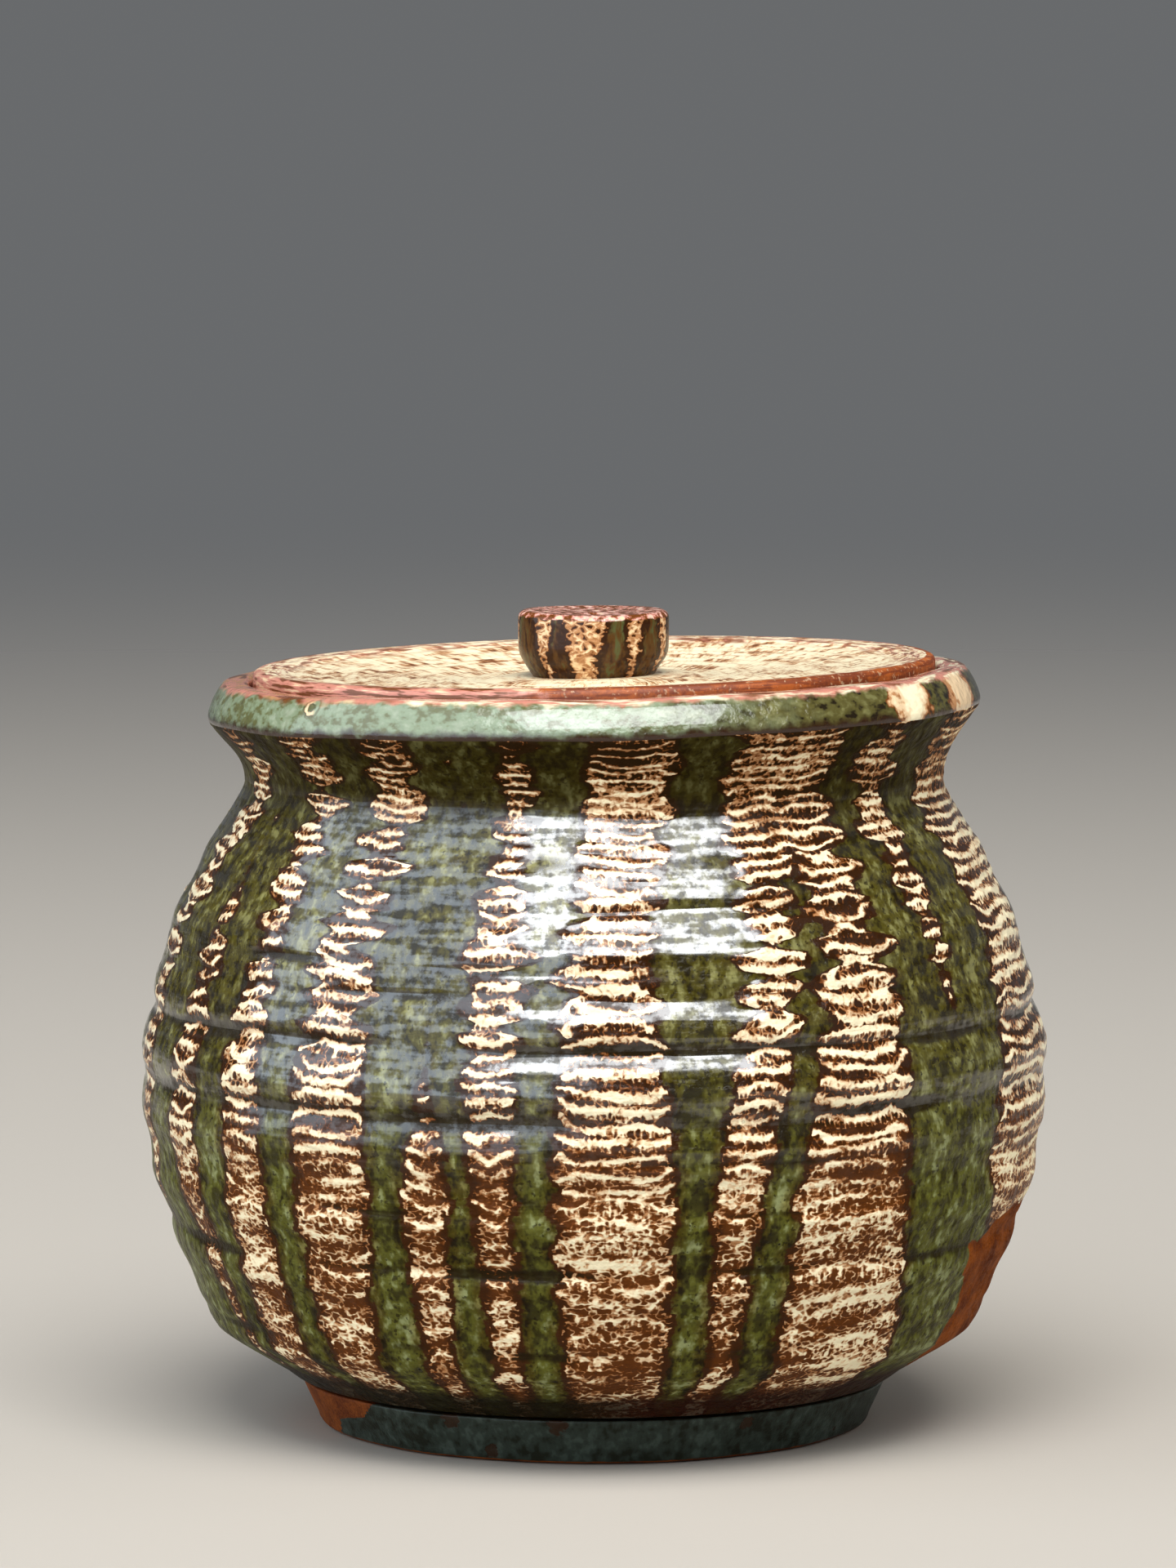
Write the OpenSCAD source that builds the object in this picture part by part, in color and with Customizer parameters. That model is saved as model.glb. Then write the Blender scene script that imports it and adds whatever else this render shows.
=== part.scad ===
// Lidded stoneware jar: a thrown body on a turned foot ring, and a dished lid with a luted knob.
// The lid lies loose on a ledge inside the rim and lifts straight off.
// Millimetres, +Z up, origin on the resting plane under the middle of the foot.

/* [Body] */
// Diameter of the belly at its widest, over the throwing rings
belly_d = 140; // [128:1:156]
// Height from the top of the foot ring to the widest part of the belly
belly_rise = 47; // [42:0.5:54]
// Diameter where the turned bevel above the foot runs out into the belly
turned_d = 116.8; // [104:0.2:124]
// Height of that turned bevel above the foot ring
turned_rise = 8.6; // [5:0.2:14]
// Height from the widest part of the belly to the narrowest part of the neck
shoulder_rise = 45; // [40:0.5:52]
// Thickness of the wall at the belly
wall_t = 5; // [4:0.5:7]
// Thickness of the floor
floor_t = 6; // [4.5:0.5:9]

/* [Throwing rings] */
// Height from one throwing ring to the next
ring_pitch = 10.2; // [6:0.2:14]
// Depth of the grooves between the throwing rings
ring_depth = 0.6; // [0.2:0.1:1.2]

/* [Neck and rim] */
// Diameter of the mouth, inside the ledge
mouth_d = 97; // [88:1:104]
// Thickness of the wall at the neck
neck_t = 5.3; // [4:0.1:7]
// Height from the neck to the top of the rim
collar_rise = 16.5; // [14:0.5:20]
// Width of the ledge that carries the lid
ledge_w = 4.8; // [4:0.1:6]
// Depth of the ledge below the top of the rim
ledge_drop = 3; // [2:0.5:4]
// Width of the lip, from the recess above the ledge to its outermost edge
lip_w = 6.2; // [5:0.1:8]
// Height of the lip's outer face
lip_h = 5.4; // [4:0.1:7]
// Inward lean of the lip's outer face, from its lower edge to its upper edge
lip_lean = 2.2; // [1:0.1:3]

/* [Lid] */
// Gap between the lid and the rim, all round
lid_gap = 0.8; // [0.4:0.1:1.2]
// Thickness of the lid at its edge
lid_edge_t = 4.5; // [3.5:0.1:6]
// Depth of the dish in the top of the lid
dish_depth = 2; // [1:0.1:3]
// How far the middle of the lid hangs below the ledge
lid_hang = 2.5; // [1.5:0.1:4]

/* [Knob] */
// Diameter of the knob
knob_d = 23.4; // [18:0.2:30]
// Diameter of the knob where it joins the lid
knob_base_d = 18.6; // [14:0.2:22]
// Height of the knob
knob_h = 10; // [8:0.5:16]
// Height of the knob's flare, from the lid to its full diameter
knob_flare_h = 5; // [3:0.5:6]
// Depth of the hollow in the top of the knob
knob_hollow = 0.5; // [0.2:0.1:1]

/* [Foot ring] */
// Diameter of the foot ring where it joins the body
foot_top_d = 90.4; // [78:0.2:96]
// Diameter of the foot ring where it stands
foot_d = 85; // [74:0.2:90]
// Height of the foot ring
foot_h = 7; // [4:0.5:10]
// Width of the foot ring where it stands
foot_w = 8; // [6:0.5:11]

/* [Rounded edges] */
// Radius of the lip's two outer edges
lip_edge_r = 1.3; // [0.6:0.1:1.8]
// Radius of the inner edges of the rim and the ledge
rim_edge_r = 0.8; // [0.4:0.1:1.2]
// Radius of the lid's edges
lid_edge_r = 0.9; // [0.4:0.1:1.4]
// Radius of the knob's top edge
knob_edge_r = 1.2; // [0.6:0.1:1.6]
// Radius of the foot ring's standing edges
foot_edge_r = 1.2; // [0.6:0.1:1.8]

/* [Hidden] */
$fn = 128;

// Heights
turned_z = foot_h + turned_rise;
belly_z = foot_h + belly_rise;
neck_z = belly_z + shoulder_rise;
rim_z = neck_z + collar_rise;
ledge_z = rim_z - ledge_drop;
floor_z = foot_h + floor_t;
lid_top_z = ledge_z + lid_edge_t;
dish_z = lid_top_z - dish_depth;
lid_under_z = ledge_z - lid_hang;
knob_top_z = dish_z + knob_h;

// Radii
belly_r = belly_d / 2;
turned_r = turned_d / 2;
inner_r = belly_r - wall_t;
mouth_r = mouth_d / 2;
neck_r = mouth_r + neck_t;
recess_r = mouth_r + ledge_w;
lip_r = recess_r + lip_w;
lid_r = recess_r - lid_gap;
plug_r = mouth_r - lid_gap;
knob_r = knob_d / 2;
knob_base_r = knob_base_d / 2;
foot_top_r = foot_top_d / 2;
foot_r = foot_d / 2;
foot_hole_r = foot_r - foot_w;

// Shape of the curves: how far each handle reaches along its curve's rise or spread
bevel_out = 0.3;
bevel_up = 0.27;
bevel_in = 0.76;
bevel_top = 0.67;
swell_out = 0.3;
swell_up = 0.17;
belly_hold = 0.3;
shoulder_hold = 0.52;
neck_hold = 0.085;
collar_hold = 0.5;
lip_hold = 0.3;
inner_hold = 0.5;
floor_hold = 0.6;
dish_hold = 0.4;
dish_drop = 0.6;
flare_out = 0.6;
flare_up = 0.45;
flare_hold = 0.55;
hollow_hold = 0.65;
hang_in = 0.5;
hang_out = 0.25;
hang_up = 0.33;

// Distance over which the throwing rings fade in above the bevel and out below the neck
ring_fade_low = 14;
ring_fade_high = 20;
// Steps along a long curve, a short curve and a rounded edge
wall_steps = 44;
short_steps = 10;
edge_steps = 6;
// Angle where the rounding under the lip starts
lip_under_angle = -55;
// Draft of the inside of the foot ring
foot_draft = 1.5;
// Width of the flat band round the knob's seat in the dish
seat_margin = 1.5;
// Width of the flat bands inside the rounded edges of the lid and the knob
lid_land = 0.9;
knob_land = 1.2;
// Width over which the lid's underside rises to the ledge
hang_w = 10;
// Distance from the outside of the foot ring in to the flat of the floor
floor_margin = 10;

function bezier_point(p, t) =
    pow(1 - t, 3) * p[0] + 3 * t * pow(1 - t, 2) * p[1] + 3 * t * t * (1 - t) * p[2] + pow(t, 3) * p[3];

// Points along a curve, without its last one
function curve(p, steps) = [for (i = [0 : steps - 1]) bezier_point(p, i / steps)];

// Points of a rounded edge round a centre, both ends included
function edge(centre, radius, from_angle, to_angle) = [
    for (i = [0 : edge_steps])
        let (a = from_angle + (to_angle - from_angle) * i / edge_steps)
        centre + radius * [cos(a), sin(a)]
];

function smooth_step(x) = let (t = min(max(x, 0), 1)) t * t * (3 - 2 * t);

// Depth of the throwing rings' grooves at a height
function ring_cut(z) =
    ring_depth / 2 * (1 + cos(360 * (z - belly_z) / ring_pitch))
    * smooth_step((z - turned_z) / ring_fade_low) * smooth_step((neck_z - z) / ring_fade_high);

function with_rings(points) = [for (p = points) [p[0] - ring_cut(p[1]), p[1]]];

// Outside of the body, from the foot ring up to the underside of the lip
lip_low = [lip_r - lip_edge_r, rim_z - lip_h];
lip_under = lip_low + lip_edge_r * [cos(lip_under_angle), sin(lip_under_angle)];
bevel_w = turned_r - foot_top_r;
bevel_curve = [
    [foot_top_r, foot_h],
    [foot_top_r + bevel_out * bevel_w, foot_h + bevel_up * turned_rise],
    [foot_top_r + bevel_in * bevel_w, foot_h + bevel_top * turned_rise],
    [turned_r, turned_z]
];
swell_curve = [
    [turned_r, turned_z],
    [turned_r + swell_out * (belly_r - turned_r), turned_z + swell_up * (belly_z - turned_z)],
    [belly_r, belly_z - belly_hold * belly_rise],
    [belly_r, belly_z]
];
shoulder_curve = [
    [belly_r, belly_z],
    [belly_r, belly_z + shoulder_hold * shoulder_rise],
    [neck_r, neck_z - neck_hold * shoulder_rise],
    [neck_r, neck_z]
];
collar_curve = [
    [neck_r, neck_z],
    [neck_r, neck_z + collar_hold * (lip_under[1] - neck_z)],
    lip_under - lip_hold * [lip_under[0] - neck_r, lip_under[1] - neck_z],
    lip_under
];
body_outside = concat(
    curve(bevel_curve, short_steps),
    with_rings(concat(curve(swell_curve, wall_steps), curve(shoulder_curve, wall_steps))),
    curve(collar_curve, short_steps)
);

// Rim and ledge, from the lip's lower edge over the top and down to the mouth
lip_angle = atan2(lip_lean, lip_h - lip_edge_r);
rim_section = concat(
    edge(lip_low, lip_edge_r, lip_under_angle, lip_angle),
    edge([lip_r - lip_lean - lip_edge_r, rim_z - lip_edge_r], lip_edge_r, lip_angle, 90),
    edge([recess_r + rim_edge_r, rim_z - rim_edge_r], rim_edge_r, 90, 180),
    [[recess_r, ledge_z]],
    edge([mouth_r + rim_edge_r, ledge_z - rim_edge_r], rim_edge_r, 90, 180)
);

// Inside of the body, from the neck down to the floor
inner_floor_r = foot_top_r - floor_margin;
inner_shoulder_curve = [
    [mouth_r, neck_z],
    [mouth_r, neck_z - neck_hold * shoulder_rise],
    [inner_r, belly_z + shoulder_hold * shoulder_rise],
    [inner_r, belly_z]
];
inner_lower_curve = [
    [inner_r, belly_z],
    [inner_r, belly_z - inner_hold * belly_rise],
    [inner_floor_r + floor_hold * (inner_r - inner_floor_r), floor_z],
    [inner_floor_r, floor_z]
];
body_inside = concat(
    curve(inner_shoulder_curve, wall_steps / 2),
    curve(inner_lower_curve, wall_steps / 2),
    [[inner_floor_r, floor_z], [0, floor_z]]
);

// Half section of the lid, from the middle of its underside round to the middle of its top
pad_r = knob_base_r + seat_margin;
under_curve = [
    [plug_r - hang_w, lid_under_z],
    [plug_r - hang_in * hang_w, lid_under_z],
    [plug_r - hang_out * hang_w, lid_under_z + hang_up * lid_hang],
    [plug_r, ledge_z]
];
dish_r = lid_r - lid_edge_r - lid_land;
dish_curve = [
    [dish_r, lid_top_z],
    [dish_r - dish_hold * (dish_r - pad_r), lid_top_z - dish_drop * dish_depth],
    [pad_r + dish_hold * (dish_r - pad_r), dish_z],
    [pad_r, dish_z]
];
lid_section = concat(
    [[0, lid_under_z]],
    curve(under_curve, short_steps),
    [[plug_r, ledge_z]],
    edge([lid_r - lid_edge_r, ledge_z + lid_edge_r], lid_edge_r, -90, 0),
    edge([lid_r - lid_edge_r, lid_top_z - lid_edge_r], lid_edge_r, 0, 90),
    curve(dish_curve, short_steps),
    [[pad_r, dish_z], [0, dish_z]]
);

// Half section of the knob
knob_flare = [
    [knob_base_r, dish_z],
    [knob_base_r + flare_out * (knob_r - knob_base_r), dish_z + flare_up * knob_flare_h],
    [knob_r, dish_z + flare_hold * knob_flare_h],
    [knob_r, dish_z + knob_flare_h]
];
hollow_r = knob_r - knob_edge_r - knob_land;
hollow_curve = [
    [hollow_r, knob_top_z],
    [hollow_hold * hollow_r, knob_top_z - knob_hollow],
    [(1 - hollow_hold) * hollow_r, knob_top_z - knob_hollow],
    [0, knob_top_z - knob_hollow]
];
knob_section = concat(
    [[0, dish_z]],
    curve(knob_flare, short_steps),
    edge([knob_r - knob_edge_r, knob_top_z - knob_edge_r], knob_edge_r, 0, 90),
    curve(hollow_curve, short_steps),
    [[0, knob_top_z - knob_hollow]]
);

// Half section of the foot ring
foot_section = concat(
    edge([foot_hole_r + foot_edge_r, foot_edge_r], foot_edge_r, 180, 270),
    edge([foot_r - foot_edge_r, foot_edge_r], foot_edge_r, 270, 360),
    [[foot_top_r, foot_h], [foot_hole_r - foot_draft, foot_h]]
);

module jar_body() {
    color("olivedrab")
        rotate_extrude()
            polygon(concat([[0, foot_h]], body_outside, rim_section, body_inside));
}

module foot_ring() {
    color("slategray")
        rotate_extrude()
            polygon(foot_section);
}

module lid_dish() {
    color("wheat")
        rotate_extrude()
            polygon(lid_section);
}

module lid_knob() {
    color("saddlebrown")
        rotate_extrude()
            polygon(knob_section);
}

jar_body();
foot_ring();
lid_dish();
lid_knob();
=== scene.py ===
"""Looks of the lidded stoneware jar.

Each thrown piece is turned again, at a finer step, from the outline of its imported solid. It then gets its
throwing grooves, raised slip and small unevenness as real relief, and its glazes, slip and clay as node
materials. Lengths are in millimetres, and angles in degrees from the front, growing to the right, unless a
name says else.
"""

import math

import bmesh
import bpy
import numpy as np
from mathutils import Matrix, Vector, noise


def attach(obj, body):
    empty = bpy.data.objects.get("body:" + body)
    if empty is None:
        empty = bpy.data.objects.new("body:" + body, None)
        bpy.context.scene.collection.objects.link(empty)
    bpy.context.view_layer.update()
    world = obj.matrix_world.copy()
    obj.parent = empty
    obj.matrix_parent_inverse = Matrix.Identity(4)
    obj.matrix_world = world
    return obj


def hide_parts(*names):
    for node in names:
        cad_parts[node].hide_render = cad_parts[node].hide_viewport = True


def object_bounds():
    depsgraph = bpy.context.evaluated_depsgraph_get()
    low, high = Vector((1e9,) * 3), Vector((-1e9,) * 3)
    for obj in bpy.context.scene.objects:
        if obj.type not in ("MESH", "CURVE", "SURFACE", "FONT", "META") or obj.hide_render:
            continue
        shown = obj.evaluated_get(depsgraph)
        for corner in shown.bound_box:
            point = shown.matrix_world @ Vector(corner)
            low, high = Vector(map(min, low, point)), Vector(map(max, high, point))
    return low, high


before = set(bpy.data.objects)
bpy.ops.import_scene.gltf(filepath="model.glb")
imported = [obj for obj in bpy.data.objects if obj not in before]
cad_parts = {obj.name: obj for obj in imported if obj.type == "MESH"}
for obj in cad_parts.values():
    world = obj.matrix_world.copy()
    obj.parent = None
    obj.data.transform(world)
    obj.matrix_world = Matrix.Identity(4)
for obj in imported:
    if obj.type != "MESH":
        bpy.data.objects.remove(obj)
cad_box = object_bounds()

MM = 0.001
WELD = 1e-7

# Camera: a long lens, a little above the rim
IMAGE_H = 1920
FOCAL_PX = 9000
SENSOR = 36
CAMERA_AT = (-0.9, -1124.8, 202.4)
CAMERA_DOWN = 5.3

# Turning: columns round each piece, and the step along its outline
BODY_COLUMNS = 360
SMALL_COLUMNS = 192
WALL_STEP = 0.6
RIM_STEP = 0.5
HIDDEN_STEP = 5.0
LID_STEP = 0.7
KNOB_STEP = 0.3
FOOT_STEP = 0.5

# Where the jar's outline divides into base, wall, lip, ledge and inside
BASE_EDGE = 0.05
LIP_LOW = 109.6
RIM_ROUND = 0.9
LEDGE_INNER = 49.6

# Lip: bulge of its face and the face's share of its outline, its inset and waves, and its easing run
LIP_BULGE, LIP_FACE = 0.6, 0.62
LIP_INSET, LIP_WAVE, LIP_RISE = 0.3, 0.15, 0.18
LIP_EASE = 1

# Wall: runs over which its relief eases in and out, and its inset and broad unevenness
FADE_LOW, FADE_HIGH = 4, 3
WALL_INSET, WALL_LUMP, WALL_LUMP_SIZE = 0.2, 0.22, 16

# Heights on the wall between which one look turns into another
WORN_FROM, WORN_FULL = 60, 36
SAGE_FROM, SAGE_FULL = 70, 40
GLOSS_FROM, GLOSS_FULL = 42, 60
# From NECK_FROM to NECK_FULL the neck's look sets in: rougher glaze, thinner slip and painted shade under
# the lip
NECK_FROM, NECK_FULL = 93, 101
NECK_GLOSSY, NECK_MATT = 96, 101
# The hem's dark glaze and painted shade set in from HEM_FROM to HEM_FULL above the foot
HEM_FROM, HEM_FULL = 13.0, 10.5

# Throwing grooves: height, depth, half height, angle of the middle, and spread round the jar
GROOVES = (
    (88.4, 0.30, 0.8, 10, 34),
    (84.7, 0.28, 0.8, 12, 30),
    (76.3, 0.38, 0.8, -28, 42),
    (72.4, 0.38, 0.8, -22, 38),
    (65.0, 0.55, 1.3, 0, 900),
    (55.0, 0.55, 1.4, -20, 150),
    (48.9, 0.28, 0.8, 20, 70),
    (41.0, 0.28, 0.8, -12, 80),
    (31.7, 0.42, 1.1, 0, 900),
    (19.3, 0.30, 1.0, 0, 900),
    (80.5, 0.34, 0.9, 170, 70),
    (60.0, 0.30, 0.8, 205, 60),
    (46.0, 0.32, 0.9, 140, 70),
)

# How far a groove wanders up and down, the depth at which it looks fully dark, and how its depth varies
GROOVE_WAVE = 0.45
DARK_GROOVE = 0.55
GROOVE_SHARE, GROOVE_UNEVEN = 0.75, 0.45
GROOVE_LEAST, GROOVE_MOST = 0.1, 1.2

# How far the wall swells out again at some heights, to keep its outline full behind the relief
SWELL_HEIGHTS = (12, 17, 40, 46, 62, 71, 75, 89, 98)
SWELLS = (0.0, 0.75, 0.7, 0.36, 0.36, 0.05, 0.75, 0.8, 0.2)

# Slip bands: middle and half width of each at four heights, below 0 where the band has run out
BAND_HEIGHTS = (18, 45, 78, 103)
BANDS = (
    ((-78, -3), (-78, 2), (-77, 4), (-68, 5)),
    ((-61, 1), (-64, 3.5), (-60.5, 2.5), (-60, -4)),
    ((-50.5, 4.2), (-49.5, 3.6), (-48.3, 2.4), (-48.5, 4.2)),
    ((-36.5, 4.5), (-34.5, 5.5), (-34.5, 4.7), (-32.5, 4.2)),
    ((-22, 2), (-21, 3), (-21, -3), (-21, -5)),
    ((-12, 2), (-12.5, 2.5), (-13, 4), (-12, 2.6)),
    ((3, 7), (2.5, 7.3), (1.8, 5.8), (5.7, 6.6)),
    ((18, 2), (18, 3), (24, 4), (26, 5.5)),
    ((37, 10.5), (34, 8), (36.5, 5.5), (34.5, 5.5)),
    ((52, -6), (52, -6), (52, 2), (49.5, 5)),
    ((76, 4), (74, 14), (74, 9), (80, 16)),
    ((104, 4), (105, 5), (107, 4), (110, 6)),
    ((121, 6), (122, 7), (121, 6), (123, 5)),
    ((139, 2), (139, 3), (138, 3), (138, -3)),
    ((153, 5), (154, 5), (156, 4), (154, 5)),
    ((174, 8), (174, 8), (172, 6), (175, 8)),
    ((193, 3), (193, 3), (194, 3), (194, 2)),
    ((209, 6), (210, 6), (209, 5), (211, 6)),
    ((229, 3), (229, 4), (231, 3), (230, 4)),
    ((246, 5), (246, 5), (245, 4), (247, 5)),
    ((263, 2), (262, 3), (263, 3), (262, 3)),
)

# Knots: the pinches along a narrow band, the heights over which they set in, which bands count as narrow,
# and how uneven a band's edge is with and without them
KNOT_LENGTH, KNOT_DEPTH = 2.0, 0.75
KNOTS_FROM, KNOTS_FULL = 58, 76
WIDE_BAND, NARROWING, NARROW_LEAST = 7, 3, 0.1
KNOT_UNEVEN, EDGE_UNEVEN = 0.4, 0.05

# Slip: its thickness and cover, the height, pitch, curl and bow of its strands, how they drift up and down,
# how its cover varies, frays at a band's edge and wears off in a groove
SLIP_THICK = 0.14
SLIP_HEIGHTS = (8, 30, 45, 60, 92, 99, 105, 109)
SLIP_AMOUNTS = (0.03, 0.01, 0.09, 0.26, 0.31, 0.18, -0.03, -0.35)
STRAND_HEIGHT = 0.20
STRAND_HEIGHTS = (8, 30, 42, 60, 80, 95, 110)
STRAND_PITCHES = (3.0, 3.0, 2.6, 2.4, 2.4, 1.7, 1.3)
COUNT_TOP, COUNT_STEP = 130, 0.5
CURL_UP, CURL_REACH = 0.6, 2.5
CURL_SHARE, CURL_LUMP, CURL_LUMP_SIZE = 0.6, 0.8, 5
BOW_REACH = 3.5
DRIFT, DRIFT_SIZE = 0.5, 11
COVER_LUMP, COVER_LUMP_SIZE = 0.25, 9
COVER_FROM, COVER_FULL = -0.1, 0.4
FRAY, FRAY_SIZE, FRAY_FROM, FRAY_FULL = 0.5, 2.5, -0.5, 0.9
GROOVE_WEAR = 0.5

# Cream slip on the lip and on the knob: middle and half width of each patch
LIP_PATCHES = ((54, 5), (71, 6), (112, 5), (150, 3), (205, 6), (251, 4))
KNOB_PATCHES = ((-43, 9), (-8, 18), (33, 8), (66, 8), (110, 12), (150, 6), (190, 14), (238, 7), (275, 9))

# How far right of the axis the lip's patches turn from bright cream to thin lace
LACE_FROM, LACE_FULL = 49, 51
BRIGHT_FULL, BRIGHT_END = 48, 54

# Broken bubble in the lip's glaze: its place and size, and how far right its pale crescent, a painted
# highlight, reaches
BLISTER_AT = (-42.0, -40.0, 113.3)
BLISTER = 1.9
BLISTER_SIDE = 0.9

# Bare clay low on the right of the wall: its left edge and that edge's lean, the rise of its top, its other
# edges, the rounding of its corners, and how uneven its outline is
BARE_LEFT, BARE_LEAN, BARE_RISE = 58.5, 0.3, 0.22
BARE_LOW, BARE_HIGH, BARE_RIGHT = 8, 32, 94
BARE_ROUND = 2.4
BARE_LUMP, BARE_LUMP_SIZE = 2.6, 9
BARE_FRAY, BARE_FRAY_SIZE = 1.4, 3
BARE_SOFT = 0.7

# Foot ring: the glaze's upper edge on the left, its chips (angle, height, size), waves, radii and tread
FOOT_LINE_ANGLES = (-118, -112, -66, -62, -52, -46)
FOOT_LINE_HEIGHTS = (8.0, -1.0, -1.0, 3.0, 4.4, 8.0)
FOOT_LINE_SOFT = 0.5
FOOT_CHIPS = (
    (-28.5, 6.2, 1.1),
    (-7.1, 6.1, 1.2),
    (-20.9, 1.6, 1.0),
    (31, 5.6, 0.9),
    (140, 3.5, 1.2),
    (222, 4.4, 1.0),
)
FOOT_SWELL, FOOT_WAVE = 0.1, 0.25
FOOT_BARE_IN, FOOT_INNER, FOOT_OUTER = 38, 40, 43
TREAD_LOW, TREAD_HIGH = 0.1, 0.6

# Lid: radius of its rolled rim, hollow and turned lines of its dish, and where its edge is pink or bare
LID_RIM_IN, LID_RIM_EASE, LID_RIM_FULL = 47.0, 1.5, 1
LID_HOLLOW = 0.6
LID_LINE, LID_LINE_RATE = 0.16, 1.7
LID_SEAT_IN, LID_SEAT_OUT = 12, 18
LID_WAVE, LID_WAVE_FROM, LID_WAVE_FULL = 0.12, 49, 52
LID_EDGE_RUN = 8
LID_EDGE_FROM, LID_EDGE_FULL = 1.9, 0.9
LID_RUST_AT, LID_RUST_FULL, LID_RUST_END = 50, 40, 80

# Knob: its waves and inset, the runs at its foot and top, the taper of its patches, and its crown
KNOB_WAVE, KNOB_INSET = 0.12, 0.15
KNOB_FOOT_RUN = 2
KNOB_TOP_FROM, KNOB_TOP_FULL = 4, 1
KNOB_TAPER = 0.6
# Crown: pink and rust glaze at the knob's top, its pink partly a painted highlight along the top edge
CROWN_FROM, CROWN_FULL = 1.5, 0.1

# The rim stands a little lower on the left, and so does the lid in it, up to the level top of its knob
RIM_TILT = 0.0235
TILT_FROM, TILT_FULL = 97, 110
KNOB_LEVEL = 119

# Softboxes: azimuth, elevation, distance, width, height, radiance and colour of each, and whether it lights
# matt surfaces and shows in gloss
SOFTBOXES = {
    "left_softbox": (-54, 28, 2200, 4500, 2900, 1.35, (0.96, 0.98, 1.0), True, False),
    "left_window": (-54, 28, 2000, 4100, 2640, 3.3, (0.74, 0.87, 1.0), False, True),
    "high_softbox": (10, 50, 2200, 2200, 1200, 14.0, (0.95, 0.98, 1.0), False, True),
    "top_fill": (8, 62, 2200, 1600, 1600, 7.9, (1.0, 0.98, 0.94), True, False),
    "right_fill": (82, 28, 2200, 1600, 1600, 1.6, (1.0, 0.97, 0.92), True, False),
}
WORLD_LEVEL = (0.14, 0.145, 0.15, 1)
FLOOR_COLOUR = (0.45, 0.42, 0.38)
FLOOR_HALF = 4000
FLOOR_DROP = 0.15
FLOOR_FADE_FROM, FLOOR_FADE_TO = 350, 2600


def smooth(value, low, high):
    """Eased share, 0 to 1, of the way from low to high."""
    share = np.clip((value - low) / (high - low), 0, 1)
    return share * share * (3 - 2 * share)


def wobble(angle, waves, seed):
    """A closed curve round a piece, about -1 to 1, made of a few whole waves."""
    draw = np.random.default_rng(seed)
    parts = [np.sin(np.radians(angle) * n + draw.uniform(0, math.tau)) for n in waves]
    return sum(parts) / math.sqrt(len(waves))


def wander(place, seed):
    """An open curve, about -1 to 1, that turns about once each unit of place."""
    draw = np.random.default_rng(seed)
    parts = [np.sin(place * draw.uniform(1.2, 3.6) + draw.uniform(0, math.tau)) for _ in range(3)]
    return sum(parts) / math.sqrt(3)


def lumps(places, size, seed):
    """Smooth noise, about -1 to 1, with lumps of the given size."""
    shifted = places / size + np.array((17.3, 5.1, 9.7)) * seed
    return np.array([noise.noise(place) for place in shifted.tolist()])


def apart(angle, middle):
    """How far an angle lies from a middle, the short way round."""
    return np.abs((angle - middle + 180) % 360 - 180)


# Turning pieces from their packed outlines

def half_section(node):
    """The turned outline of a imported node: its (radius, height) corners in order."""
    cut = bmesh.new()
    cut.from_mesh(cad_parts[node].data)
    bmesh.ops.remove_doubles(cut, verts=cut.verts, dist=WELD)
    everything = cut.verts[:] + cut.edges[:] + cut.faces[:]
    bmesh.ops.bisect_plane(cut, geom=everything, dist=WELD / 10, plane_co=(0, 0, 0), plane_no=(0, 1, 0),
                           clear_inner=True, clear_outer=True)
    bmesh.ops.delete(cut, geom=[v for v in cut.verts if v.co.x < -WELD], context="VERTS")
    bmesh.ops.remove_doubles(cut, verts=cut.verts, dist=20 * WELD)
    ends = [v for v in cut.verts if len(v.link_edges) == 1]
    walk = [min(ends or cut.verts, key=lambda v: v.co.z)]
    edge = walk[0].link_edges[0]
    while edge:
        walk.append(edge.other_vert(walk[-1]))
        onward = [e for e in walk[-1].link_edges if e is not edge]
        edge = onward[0] if onward and walk[-1] is not walk[0] else None
    corners = [(v.co.x / MM, v.co.z / MM) for v in walk]
    cut.free()
    if ends:
        corners = [(0, corners[0][1])] + corners + [(0, corners[-1][1])]
    return np.array(corners)


def outline_length(corners):
    """The distance of each corner along its outline."""
    steps = np.linalg.norm(np.diff(corners, axis=0), axis=1)
    return np.concatenate([[0], np.cumsum(steps)])


def even_outline(corners, cuts, steps):
    """(distance, radius, height) of points along an outline, with its own step between each two cuts."""
    along = outline_length(corners)
    bounds = [0, *cuts, along[-1]]
    stops = [np.linspace(a, b, max(2, round((b - a) / step)), endpoint=False)
             for a, b, step in zip(bounds, bounds[1:], steps)]
    stops = np.concatenate([*stops, [along[-1]]])
    return np.c_[stops, np.interp(stops, along, corners[:, 0]), np.interp(stops, along, corners[:, 1])]


def turn(name, outline, columns):
    """Spins an outline into a closed piece whose vertices keep their distance along it."""
    shape = bmesh.new()
    along = shape.verts.layers.float.new("along")
    closed = np.allclose(outline[0, 1:], outline[-1, 1:])
    corners = []
    for distance, radius, height in outline[:-1] if closed else outline:
        corner = shape.verts.new((0, radius * MM, height * MM))
        corner[along] = distance
        corners.append(corner)
    for pair in zip(corners, corners[1:] + corners[:1] if closed else corners[1:]):
        shape.edges.new(pair)
    bmesh.ops.spin(shape, geom=shape.verts[:] + shape.edges[:], cent=(0, 0, 0), axis=(0, 0, 1),
                   dvec=(0, 0, 0), angle=math.tau, steps=columns, use_merge=True, use_duplicate=False)
    bmesh.ops.remove_doubles(shape, verts=shape.verts, dist=WELD)
    bmesh.ops.recalc_face_normals(shape, faces=shape.faces)
    mesh = bpy.data.meshes.new(name)
    shape.to_mesh(mesh)
    shape.free()
    mesh.polygons.foreach_set("use_smooth", np.ones(len(mesh.polygons), bool))
    return mesh


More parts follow.
